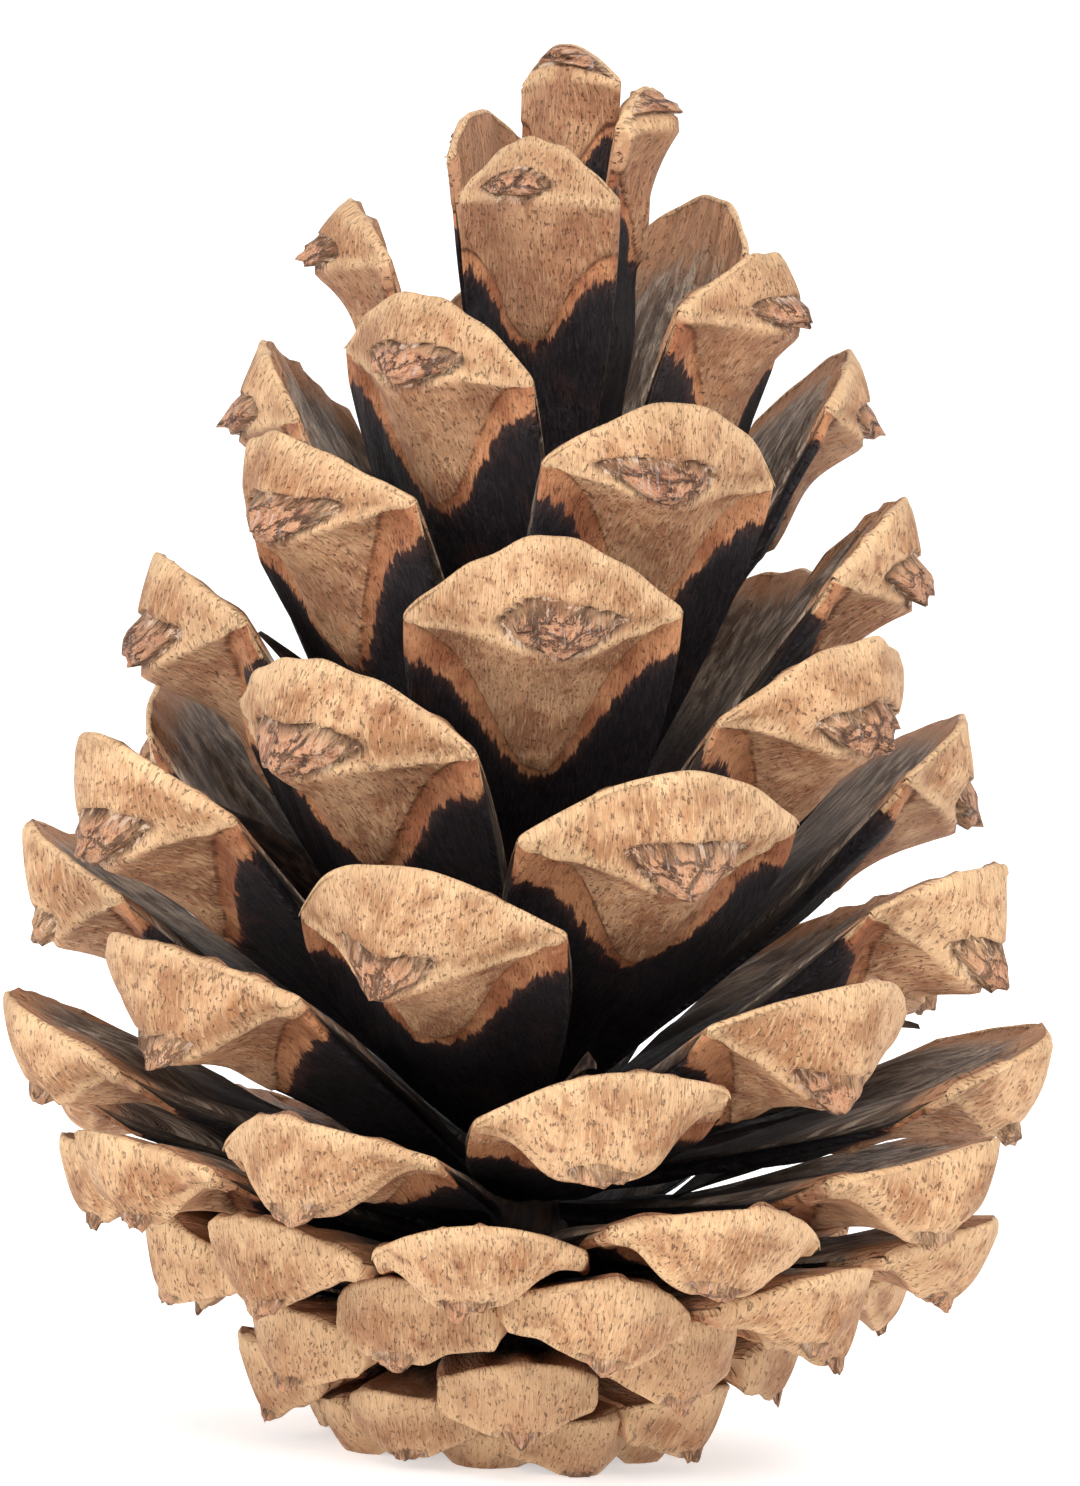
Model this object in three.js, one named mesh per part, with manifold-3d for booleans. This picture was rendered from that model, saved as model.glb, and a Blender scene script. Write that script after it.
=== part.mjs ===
import * as THREE from 'three';
import Module from 'manifold-3d';

// An open pine cone standing upright on its basal scales. Millimetres, +Z up, its axis on Z.
// Scales are numbered from the tip of the cone down, each a golden angle round from the last.
// A place on a scale is given by its distance back from the rounded end, its distance across
// from the middle, and its height above the inner side, which faces the tip of the cone.

const wasm = await Module();
wasm.setup();
const { Manifold, Mesh } = wasm;

// Layout of the scales.
const SCALE_COUNT = 87;
const OPEN_COUNT = 53; // the open scales; the rest are packed together into the base
const GOLDEN_ANGLE = 137.508; // degrees
const FIRST_ANGLE = 318; // degrees, of scale 1, from the front (-Y) towards +X
const CLEARANCE = 0.3; // between neighbouring pieces
const LOPSIDED = 0.055; // how much lower the wide part of the cone sits towards +X
const LOPSIDED_FROM = [16, 32]; // the scales over which that sets in
const LOPSIDED_TO = [56, 72]; // and dies out
const UNEVEN_ROLL = 5; // degrees, the most that a scale is twisted about its own length

// What a scale is like at some numbers along the cone; the ones between follow smoothly.
// Radius and height of the boss, height of the root, tilt of the end in degrees, width,
// length of the exposed face, and turn off the golden angle in degrees.
const STATIONS = [
  [1, 2.6, 62.3, 44, 85, 4.8, 8, -14],
  [5, 10.7, 55.2, 36, 70, 7.8, 10.2, -13],
  [10, 15.3, 47.3, 28, 58, 10.2, 10.8, -9],
  [16, 18, 39, 22, 52, 11.8, 12.4, 0],
  [24, 21.7, 29.5, 16.6, 46, 12.4, 12, 0],
  [32, 23.3, 20.9, 13.6, 35, 11.8, 11.4, 1],
  [43, 22.3, 12.3, 10.5, 19, 10.2, 9.6, 2],
  [54, 19, 7.8, 7.6, 10, 8.8, 7.6, 2],
  [65, 14.6, 5, 5.7, -1, 7.6, 6.2, 2],
  [76, 9.8, -0.4, 4.2, -15, 6.6, 5, 3],
  [87, 5.4, 0, 2.8, -35, 4.6, 4, 3],
];

// Scales that stand crooked: number, and turn in degrees.
const CROOKED = new Map([
  [1, 26], [2, -14], [3, 20], [4, -12], [11, 9], [12, -3], [14, 4], [22, 3], [38, 3],
]);

// Proportions of one scale, as shares of its width.
const CORNER_SET_BACK = 0.45; // from the rounded end back to the side corners
const BOSS_SET_BACK = 0.2; // from the rounded end back to the boss
const KEEL_SET_BACK = 0.3; // from the rounded end back to the keel below the boss
const BOSS_HEIGHT = [0.33, 0.44]; // from the inner side out to the boss, open scales to base
const BOSS_HEIGHT_CHANGES = [42, 70]; // the scales over which that changes
const FACE_HEIGHT = 0.14; // from the inner side out to the lower point of the exposed face
const CUP = [0.06, -0.17]; // how far the sides curl inwards, open scales to base
const CUP_CHANGES = [31, 59];

// Sizes that are the same on every scale.
const PLATE_THICKNESS = 1.1;
const RIM_THICKNESS = 0.35;
const RIM_ROUNDING = 0.25;
const CORNER_EDGE = 1.3; // length of the cut-off side below each corner
const ROOT_WIDTH = 1.6;
const ROOT_THICKNESS = 0.8;

// Lines along a scale, from one side, -1, to the other, 1.
const OPEN_LINES = [-1, -0.8, -0.4, 0, 0.4, 0.8, 1];
const BASAL_LINES = [-1, -0.55, 0, 0.55, 1];

// The axis, and the end of the stalk that carries the basal scales, as radius and height.
const AXIS_OUTLINE = [[0, 9.3], [2.6, 9.3], [2.4, 16], [1.9, 30], [1.2, 42], [0, 44.5]];
const STALK_OUTLINE = [[0, 0.8], [2.4, 0.8], [2.9, 2], [3.6, 5], [3.2, 9], [0, 9]];
const ROUND_SEGMENTS = 18;

// Seed wings: name, the scale each lies on, how far it curls up off that scale, and its
// place across the scale.
const SEED_WINGS = [
  ['seed_wing_1', 19, 1.2, 1.2],
  ['seed_wing_2', 27, 1.2, 1.2],
  ['seed_wing_3', 36, 3, -1.2],
  ['seed_wing_4', 38, 2, 0],
  ['seed_wing_5', 44, 1.2, -1.2],
];
const WING_WIDTH = 3.2;
const WING_THICKNESS = 0.4;
const WING_FROM = 0.78; // its ends, as shares of the scale's length back from the end
const WING_TO = 0.24;
const WING_STEPS = 8;

const SCALE_COLOUR = 0xc0905c;
const BASE_COLOUR = 0xb98a5a;
const AXIS_COLOUR = 0x4a3026;
const WING_COLOUR = 0x4c372b;

const radians = THREE.MathUtils.degToRad;
const { clamp, lerp, smoothstep } = THREE.MathUtils;

const stationSpline = new THREE.CubicInterpolant(
  STATIONS.map((row) => row[0]),
  STATIONS.flat(),
  STATIONS[0].length,
);

// A repeatable value between -1 and 1 for each scale.
function uneven(number) {
  return Math.sin(number * number * 12.9898);
}

// Everything about a scale that depends on its number.
function layout(number) {
  const [, radius, bossHeight, rootHeight, tilt, width, face, turn] = stationSpline.evaluate(number);
  const steps = GOLDEN_ANGLE * (number - 1);
  const angle = radians(FIRST_ANGLE + steps + turn + (CROOKED.get(number) ?? 0));
  const lopsided = smoothstep(number, ...LOPSIDED_FROM) - smoothstep(number, ...LOPSIDED_TO);
  return {
    radius,
    height: bossHeight - LOPSIDED * radius * Math.sin(angle) * lopsided,
    rootHeight,
    tilt: radians(tilt),
    width,
    face,
    bossOut: lerp(...BOSS_HEIGHT, smoothstep(number, ...BOSS_HEIGHT_CHANGES)) * width,
    cup: lerp(...CUP, clamp((number - CUP_CHANGES[0]) / (CUP_CHANGES[1] - CUP_CHANGES[0]), 0, 1)),
    angle,
    roll: radians(UNEVEN_ROLL * uneven(number)),
  };
}

function direction(angle) {
  return new THREE.Vector2(Math.cos(angle), Math.sin(angle));
}

// The line down the middle of a scale's inner side, from its root to its rounded end, as
// radius and height.
function midline(number) {
  const { radius, height, rootHeight, tilt, width, bossOut } = layout(number);
  const along = direction(tilt);
  const inwards = direction(tilt + Math.PI / 2);
  const end = new THREE.Vector2(radius, height);
  end.addScaledVector(along, BOSS_SET_BACK * width);
  end.addScaledVector(inwards, bossOut);
  const axisRadius = THREE.MathUtils.mapLinear(rootHeight, 2, 44, 2.8, 1.1);
  const rootRadius = axisRadius + CLEARANCE + (ROOT_THICKNESS / 2) * Math.sin(Math.abs(tilt));
  const root = new THREE.Vector2(rootRadius, rootHeight);
  const chord = Math.atan2(end.y - root.y, end.x - root.x);
  const third = root.distanceTo(end) / 3;
  const leaving = root.clone().addScaledVector(direction(2 * chord - tilt), third);
  const arriving = end.clone().addScaledVector(along, -third);
  return new THREE.CubicBezierCurve(root, leaving, arriving, end);
}

// A function that places a point of a scale on the cone.
function placer(number) {
  const { angle, roll } = layout(number);
  const line = midline(number);
  const length = line.getLength();
  const outwards = new THREE.Vector3(Math.sin(angle), -Math.cos(angle), 0);
  const sideways = new THREE.Vector3(Math.cos(angle), Math.sin(angle), 0);
  return (back, across, height) => {
    const t = clamp(1 - back / length, 0, 1);
    const point = line.getPointAt(t);
    const tangent = line.getTangentAt(t);
    const aside = across * Math.cos(roll * t) - height * Math.sin(roll * t);
    const raised = across * Math.sin(roll * t) + height * Math.cos(roll * t);
    const place = new THREE.Vector3(0, 0, point.y + tangent.x * raised);
    place.addScaledVector(outwards, point.x - tangent.y * raised);
    return place.addScaledVector(sideways, aside);
  };
}

// Half the width of a scale at a distance back from its rounded end.
function halfWidth(back, length, width) {
  const corner = CORNER_SET_BACK * width;
  const t = clamp((back - corner) / (length - corner), 0, 1);
  return lerp(width, ROOT_WIDTH, t ** 1.3) / 2;
}

// A scale's outline on the line at u across it, as distance back and height: along the
// outer side from the root to the rounded end, then back along the inner side.
function outlineAt(u, number, length) {
  const { width, face, bossOut, cup: cupShare } = layout(number);
  const side = Math.abs(u);
  const corner = CORNER_SET_BACK * width;
  const cup = cupShare * width * side ** 2;
  const rim = corner * side ** 2;
  const keelBack = lerp(KEEL_SET_BACK * width, corner + 0.1, side ** 1.5);
  const keel = cup - lerp(RIM_THICKNESS + 0.1, bossOut, (1 - side) ** 1.2);
  const lowerBack = lerp(face, corner + CORNER_EDGE, smoothstep(side, 0, 0.95));
  const lower = cup - FACE_HEIGHT * width * (1 - 0.4 * side ** 2);
  const middleBack = lerp(lowerBack, length, 0.45);
  const middle = cup / 2 - PLATE_THICKNESS * (1 - 0.35 * side ** 2);
  return {
    outer: [
      [length, -ROOT_THICKNESS / 2],
      [middleBack, middle],
      [lowerBack, lower],
      [lerp(keelBack, lowerBack, 0.4), lerp(lower, keel, 0.2)],
      [keelBack, keel],
      [rim, cup - RIM_THICKNESS],
    ],
    inner: [
      [rim + RIM_ROUNDING, cup],
      [middleBack, cup / 2],
      [length, ROOT_THICKNESS / 2],
    ],
  };
}

// A closed solid through rings of points. The first and last rings are flat ends, shaped
// like the end outline.
function loft(rings, endOutline) {
  const count = rings[0].length;
  const triangles = [];
  for (let ring = 0; ring + 1 < rings.length; ring++) {
    for (let i = 0; i < count; i++) {
      const a = ring * count + i;
      const b = ring * count + ((i + 1) % count);
      triangles.push(a, b + count, b, a, a + count, b + count);
    }
  }
  const last = (rings.length - 1) * count;
  const end = endOutline.map(([x, y]) => new THREE.Vector2(x, y));
  for (const [a, b, c] of THREE.ShapeUtils.triangulateShape(end, [])) {
    triangles.push(a, c, b, last + a, last + b, last + c);
  }
  const geometry = new THREE.BufferGeometry().setFromPoints(rings.flat());
  geometry.setIndex(triangles);
  return toSolid(geometry);
}

// A scale, or the same scale made thicker and wider by grow all round.
function scaleSolid(number, grow = 0) {
  const { width } = layout(number);
  const length = midline(number).getLength();
  const place = placer(number);
  const lines = number > OPEN_COUNT ? BASAL_LINES : OPEN_LINES;
  const rings = lines.map((u) => {
    const { outer, inner } = outlineAt(u, number, length);
    const across = (back) => u * (halfWidth(back, length, width) + grow);
    return [
      ...outer.map(([back, height]) => place(back, across(back), height - grow)),
      ...inner.map(([back, height]) => place(back, across(back), height + grow)),
    ];
  });
  const side = outlineAt(1, number, length);
  return loft(rings, [...side.outer, ...side.inner]);
}

// A thin curled blade that arches up off the inner side of a scale.
function wingSolid(number, curl, across) {
  const length = midline(number).getLength();
  const place = placer(number);
  const rings = [];
  const ends = [];
  for (let step = 0; step <= WING_STEPS; step++) {
    const t = step / WING_STEPS;
    const back = lerp(WING_FROM, WING_TO, t) * length;
    const half = WING_WIDTH * (0.12 + 0.38 * Math.sin(Math.PI * t ** 0.8));
    const height = 0.7 + curl * Math.sin(Math.PI * 0.6 * t);
    const droop = height - 0.3;
    const outline = [
      [-half, droop],
      [-half, droop + WING_THICKNESS],
      [0, height + WING_THICKNESS],
      [half, droop + WING_THICKNESS],
      [half, droop],
      [0, height],
    ];
    rings.push(outline.map(([aside, up]) => place(back, across + aside, up)));
    ends.push(outline);
  }
  return loft(rings, ends[0]);
}

// A solid turned about the axis from radius and height pairs.
function turnedSolid(outline) {
  const points = outline.map(([radius, height]) => new THREE.Vector2(radius, height));
  const geometry = new THREE.LatheGeometry(points, ROUND_SEGMENTS);
  return toSolid(geometry.rotateX(Math.PI / 2));
}

function toSolid(geometry) {
  const mesh = new Mesh({
    numProp: 3,
    vertProperties: new Float32Array(geometry.attributes.position.array),
    triVerts: new Uint32Array(geometry.index.array),
  });
  mesh.merge();
  return new Manifold(mesh);
}

function toGeometry(solid) {
  const { vertProperties, triVerts } = solid.getMesh();
  const geometry = new THREE.BufferGeometry();
  geometry.setAttribute('position', new THREE.BufferAttribute(vertProperties, 3));
  geometry.setIndex(new THREE.BufferAttribute(triVerts, 1));
  geometry.computeVertexNormals();
  return geometry;
}

function boxesMeet(a, b) {
  return [0, 1, 2].every((k) => a.min[k] <= b.max[k] && b.min[k] <= a.max[k]);
}

// What is left of a solid outside the cutters, without any crumbs.
function fitAround(solid, cutters) {
  const box = solid.boundingBox();
  const near = cutters.filter((cutter) => boxesMeet(box, cutter.boundingBox()));
  const bodies = near.reduce((rest, cutter) => rest.subtract(cutter), solid).decompose();
  return bodies.reduce((best, body) => (body.volume() > best.volume() ? body : best));
}

// The ground under the cone, which the lowest scales are pressed flat against.
function groundSolid() {
  const geometry = new THREE.BoxGeometry(80, 80, 10);
  return toSolid(geometry.translate(0, 0, -5));
}

const cone = new THREE.Group();
cone.name = 'pine_cone';

function addPiece(name, solid, color) {
  const material = new THREE.MeshStandardMaterial({ color, roughness: 0.85, metalness: 0 });
  const mesh = new THREE.Mesh(toGeometry(solid), material);
  mesh.name = name;
  cone.add(mesh);
}

addPiece('axis', turnedSolid(AXIS_OUTLINE), AXIS_COLOUR);

const grownScales = [];
for (let number = 1; number <= OPEN_COUNT; number++) {
  const name = `scale_${String(number).padStart(2, '0')}`;
  addPiece(name, fitAround(scaleSolid(number), grownScales), SCALE_COLOUR);
  grownScales.push(scaleSolid(number, CLEARANCE));
}

let base = turnedSolid(STALK_OUTLINE);
const grownBase = [];
for (let number = OPEN_COUNT + 1; number <= SCALE_COUNT; number++) {
  base = base.add(scaleSolid(number));
  grownBase.push(scaleSolid(number, CLEARANCE));
}
addPiece('basal_scales', fitAround(base, [...grownScales, groundSolid()]), BASE_COLOUR);

for (const [name, number, curl, across] of SEED_WINGS) {
  const wing = wingSolid(number, curl, across);
  addPiece(name, fitAround(wing, [...grownScales, ...grownBase]), WING_COLOUR);
}

export default cone;
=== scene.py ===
import math

import bpy
import numpy as np
from mathutils import Matrix, Vector


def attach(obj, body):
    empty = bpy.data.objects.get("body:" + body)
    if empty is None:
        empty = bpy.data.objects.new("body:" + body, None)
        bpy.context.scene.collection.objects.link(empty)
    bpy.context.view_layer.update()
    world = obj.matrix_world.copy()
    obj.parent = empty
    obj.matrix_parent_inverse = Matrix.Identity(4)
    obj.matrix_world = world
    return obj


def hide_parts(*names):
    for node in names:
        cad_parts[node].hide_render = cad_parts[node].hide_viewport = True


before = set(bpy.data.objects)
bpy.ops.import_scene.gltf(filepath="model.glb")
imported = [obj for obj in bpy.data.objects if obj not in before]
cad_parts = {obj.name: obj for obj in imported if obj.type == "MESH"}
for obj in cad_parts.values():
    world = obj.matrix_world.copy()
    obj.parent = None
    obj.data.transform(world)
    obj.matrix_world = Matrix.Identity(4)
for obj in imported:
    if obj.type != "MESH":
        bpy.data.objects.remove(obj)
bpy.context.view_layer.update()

# An open pine cone on a pale floor. Lengths are in millimetres, except where a comment says
# metres; MM turns them into metres when a surface is placed on the cone.
# Scales are numbered from the tip of the cone down, each a golden angle round from the last.
# A place on a scale is its distance back from the rounded end, its distance across from the
# middle, and its height above the inner side, which faces the tip of the cone.

MM = 0.001

# Layout of the scales, with angles in degrees. Low on the cone the right side hangs lower and
# the left side higher, by LOPSIDED times the radius. That fades in over the first scales given
# and out over the last.
SCALE_COUNT = 87
OPEN_COUNT = 53
GOLDEN_ANGLE = 137.508
FIRST_ANGLE = 318.0
CLEARANCE = 0.3
LOPSIDED = 0.055
LOPSIDED_FROM = (16, 32)
LOPSIDED_TO = (56, 72)
UNEVEN_ROLL = 5.0

# Scale number, radius and height of the boss, height of the root, tilt of the end in
# degrees, width, length of the exposed face, and turn off the golden angle in degrees.
STATIONS = np.array([
    [1, 2.6, 62.3, 44, 85, 4.8, 8, -14],
    [5, 10.7, 55.2, 36, 70, 7.8, 10.2, -13],
    [10, 15.3, 47.3, 28, 58, 10.2, 10.8, -9],
    [16, 18, 39, 22, 52, 11.8, 12.4, 0],
    [24, 21.7, 29.5, 16.6, 46, 12.4, 12, 0],
    [32, 23.3, 20.9, 13.6, 35, 11.8, 11.4, 1],
    [43, 22.3, 12.3, 10.5, 19, 10.2, 9.6, 2],
    [54, 19, 7.8, 7.6, 10, 8.8, 7.6, 2],
    [65, 14.6, 5, 5.7, 6, 7.6, 6.2, 2],
    [76, 9.8, 0.5, 4.2, -2, 6.6, 5, 3],
    [87, 5.4, -0.6, 2.8, -20, 4.6, 4, 3],
])

# Scales that stand crooked, and their turn in degrees.
CROOKED = {1: 26, 2: -14, 3: 20, 4: -12, 11: 9, 12: -3, 14: 4, 22: 3, 38: 3}

# Radius of the middle of the cone, low down and high up, and the heights where it has them.
# The roots start CLEARANCE or a little more outside it.
AXIS_RADII = (2.8, 1.1)
AXIS_HEIGHTS = (2, 44)

# The scales over which the shape or colour changes: from none of the change to all of it.
TOP_CHANGES = (9, 3)
CROWN_CHANGES = (4, 1.5)
RIM_CHANGES = (32, 22)
LOW_CHANGES = (31, 39)
CUP_CHANGES = (31, 59)
BOSS_SIZE_CHANGES = (22, 38)
BOSS_COLOUR_CHANGES = (20, 34)
BOSS_HEIGHT_CHANGES = (42, 70)
TAPER_CHANGES = (44, 56)
BASE_CHANGES = (48, 64)
INNER_COLOUR_CHANGES = (50, 60)
TOP_DARKENS = (22, 4)
BASE_DARKENS = (54, 70)

# Proportions of one scale, as shares of its width.
CORNER_SET_BACK = 0.45
CORNER_EDGE = 0.15
TOP_CORNER_EDGE = 0.5
LOW_CORNER_EDGE = 0.3
BOSS_SET_BACK = 0.2
BOSS_HEIGHT = 0.33
BASE_BOSS_HEIGHT = 0.53
KEEL_SET_BACK = 0.35
BASE_KEEL_SET_BACK = 0.24
FACE_HEIGHT = 0.14
FACE_HOLLOW = 0.058
FACE_BULGE = 0.04
LOW_FACE_BULGE = 0.075
CUP = 0.06
BASE_ARCH = 0.13
RIM_SET_BACK = 0.08
RIM_WAVES = 0.035
RIM_NICKS = 0.016
BAND_WIDTHS = (0.05, 0.16)
BOSS_HALF_WIDTH = 0.2
CROWN_BOSS_HALF_WIDTH = 0.36
BOSS_RISE = 0.03
GROOVE_DEPTH = 0.034

# The boss's place up the upper face and its half-height, as shares of the way from the keel to
# the rim. Low on the cone its place and sizes are SMALL_BOSS times as much.
BOSS_UP = 0.26
BOSS_HALF_HEIGHT = 0.24
CROWN_BOSS_UP = 0.75
CROWN_BOSS_HALF_HEIGHT = 0.36
SMALL_BOSS = 0.55

# The keel stands out by 1 at the boss and by less elsewhere: how wavy it is, and how far it has
# fallen at the corners of a basal scale.
KEEL_WAVES = 0.07
BASE_KEEL_WAVES = 0.03
BASE_KEEL_FALL = 0.75

# The most by which scales differ at random: the boss aside, as a share of half the width; the
# rim aslant and the sides twisted, as shares of the width; and the corners' set-backs, as a
# share of themselves.
SKEW = 0.18
LEAN = 0.07
TWIST = 0.04
UNEVEN_CORNERS = 0.14

# How far a scale is turned to the darker colour: at random, and towards the tip and the base of the
# cone.
UNEVEN_TONE = 0.3
TIP_AND_BASE_TONE = 0.6

# What sets the grain of one scale apart from the next one's.
GRAIN_STEP = 7.3

# Sizes that are the same on every scale.
PLATE_THICKNESS = 1.1
RIM_THICKNESS = 0.35
CORNER_THICKENING = 0.1
KEEL_BEHIND_CORNER = 0.1
BAND_WAVES = 0.25
RIM_ROUNDING = 0.25
RIM_BULGE = 0.12
ROOT_WIDTH = 1.6
ROOT_THICKNESS = 0.8

# The power of the curve by which a scale narrows to its root.
OPEN_TAPER = 1.7
BASE_TAPER = 3

# Heights of the relief on the surface.
BOSS_ROUGHNESS = 0.24
PRICKLE = 0.5
LOW_PRICKLE = 0.2
BAND_STEP = 0.22
MIDDLE_RIDGE = 0.3
LOW_MIDDLE_RIDGE = 0.12
FACE_LUMPS = 0.22
FACE_GRAIN = 0.07
FACE_FOLDS = 0.16
KEEL_RIDGE = 0.1
INNER_GRAIN = 0.24
INNER_LUMPS = 0.22
SIDE_ROUNDING = 0.3
INNER_SIDE_ROUNDING = 0.25

# How finely a scale is modelled: lines across it, rows along each stretch of its outline, and
# points along its middle.
LINES = 57
PLATE_ROWS = 16
LOWER_ROWS = 22
UPPER_ROWS = 20
RIM_ROWS = 4
INNER_ROWS = 22
PATH_STEPS = 200

# The stretches of the outline: outer side of the plate, lower face, upper face, rounded rim
# and inner side.
PLATE, LOWER, UPPER, RIM, INNER = range(5)

# A mark's value at places that are wholly to one side of an edge.
FAR = 9.0

# The middle of the cone and the end of its stalk, as radius and height.
AXIS_OUTLINE = [[0, 9.3], [2.6, 9.3], [2.4, 16], [1.9, 30], [1.2, 42], [0, 44.5]]
STALK_OUTLINE = [[0, 0.8], [2.4, 0.8], [2.9, 2], [3.6, 5], [3.2, 9], [0, 9]]
ROUND_ROWS = 70
ROUND_LINES = 48
ROUND_LUMPS = 0.072
ROUND_CREASES = 0.048

# Seed wings: name, the scale each lies on, how far it curls up off that scale, and its
# shift across it. Its ends are shares of the scale's length back from the rounded end. It is
# WING_END to each side of its middle at its base, swells by WING_SWELL and tapers to a tip, and
# turns by WING_TURN radians.
SEED_WINGS = [
    ["seed_wing_1", 19, 1.2, 1.2],
    ["seed_wing_2", 27, 1.2, 1.2],
    ["seed_wing_3", 36, 3, -1.2],
    ["seed_wing_4", 38, 2, 0],
    ["seed_wing_5", 44, 1.2, -1.2],
]
WING_END = 0.256
WING_SWELL = 0.832
WING_THICKNESS = 0.2
WING_FROM = 0.78
WING_TO = 0.24
WING_RISE = 0.75
WING_TURN = 1.3
WING_WAVES = 0.12
WING_STEPS = 40
WING_LINES = 13

# Seeds of the random unevenness of the scales, the wings and the round pieces.
SCALE_SEED = 1000
WING_SEED = 500
ROUND_SEED = 7

# Colours, as screen values from 0 to 255.
COLOURS = {
    "upper dark": (164, 118, 82),
    "upper light": (209, 167, 126),
    # The lower face's colours are a slightly darker copy of the upper face's: painted shade.
    "lower dark": (160, 110, 80),
    "lower light": (204, 156, 118),
    "streak": (168, 112, 70),
    # Painted highlight, laid in pale streaks along the fibres.
    "fibre": (238, 202, 155),
    "spot": (134, 80, 50),
    "dash": (104, 66, 46),
    "darker_tone": (140, 96, 68),
    # Painted highlight along the rims and the keels.
    "painted highlight": (230, 194, 150),
    "knob dark": (158, 104, 78),
    "knob light": (214, 158, 122),
    # Painted shade in the boss's crevices.
    "crevice": (54, 35, 31),
    "resin": (214, 200, 192),
    # Painted shade in the groove round the boss.
    "groove": (64, 40, 32),
    "flake": (212, 194, 182),
    "band dark": (150, 92, 60),
    "band light": (190, 132, 92),
    "band spot": (120, 72, 48),
    "band edge": (110, 66, 48),
    "seam": (96, 58, 40),
    "black dark": (24, 18, 21),
    "black light": (40, 31, 35),
    "black cloud": (62, 38, 32),
    "black edge": (104, 64, 46),
    "black fleck": (100, 92, 98),
    "inner dark": (100, 82, 70),
    "inner light": (168, 148, 130),
    "inner fibre": (60, 46, 40),
    "inner edge": (168, 122, 90),
    # Painted shade deep at the root of the inner side.
    "painted root shade": (48, 36, 33),
    "axis dark": (38, 27, 24),
    "axis light": (78, 54, 42),
    "wing dark": (34, 25, 23),
    "wing light": (92, 70, 56),
}

# Which sockets of a mix node hold its two colours and its result.
COLOUR_A = 6
COLOUR_B = 7
COLOUR_OUT = 2

# The floor's rings, as radius and height in metres.
FLOOR_RINGS = [
    [0.3, 0.0], [0.8, 0.0], [1.2, 0.0], [1.4, 0.04], [1.52, 0.14], [1.58, 0.3], [1.6, 0.9],
]
FLOOR_LINES = 64
FLOOR_GREY = 0.85
FLOOR_GLOW = 0.5

# Round soft lights: name, place in metres, size in metres and power in watts.
LIGHTS = [
    ["key", (0.1, -0.5, 0.55), 0.45, 4.2],
    ["fill", (-0.5, -0.4, 0.2), 0.5, 1.5],
    ["back", (0.1, 0.5, 0.5), 0.4, 1.6],
]
LIT_PLACE = (0, 0, 0.03)
WORLD_STRENGTH = 0.45

# The camera: angles in degrees, target and distance in metres, shift as a share of the view, and
# lens and sensor in millimetres.
CAMERA_ELEVATION = 3.24
CAMERA_ROLL = 3.55
CAMERA_DISTANCE = 0.3
CAMERA_TARGET = (0, 0, 0.032)
CAMERA_SHIFT = (-0.001, -0.003)
CAMERA_LENS = 162.07268
CAMERA_SENSOR = 36


def mix(a, b, t):
    return a + (b - a) * t


def smoothstep(x, low, high):
    t = np.clip((x - low) / (high - low), 0, 1)
    return t * t * (3 - 2 * t)


def bell(x, spread):
    """1 where x is 0, falling smoothly to nothing on both sides."""
    return np.exp(-(x / spread) ** 2)


def direction(angle):
    return np.array([math.cos(angle), math.sin(angle)])


def station(number):
    """The row of STATIONS at a scale number, by a smooth curve through the rows."""
    x, rows = STATIONS[:, 0], STATIONS[:, 1:]
    secants = np.diff(rows, axis=0) / np.diff(x)[:, None]
    slopes = np.vstack([secants[:1], (secants[1:] + secants[:-1]) / 2, secants[-1:]])
    i = int(np.clip(np.searchsorted(x, number) - 1, 0, len(x) - 2))
    step = x[i + 1] - x[i]
    p = (number - x[i]) / step
    return (
        rows[i] * ((2 * p - 3) * p * p + 1)
        + slopes[i] * step * ((p - 2) * p * p + p)
        + rows[i + 1] * (3 - 2 * p) * p * p
        + slopes[i + 1] * step * (p - 1) * p * p
    )


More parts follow.
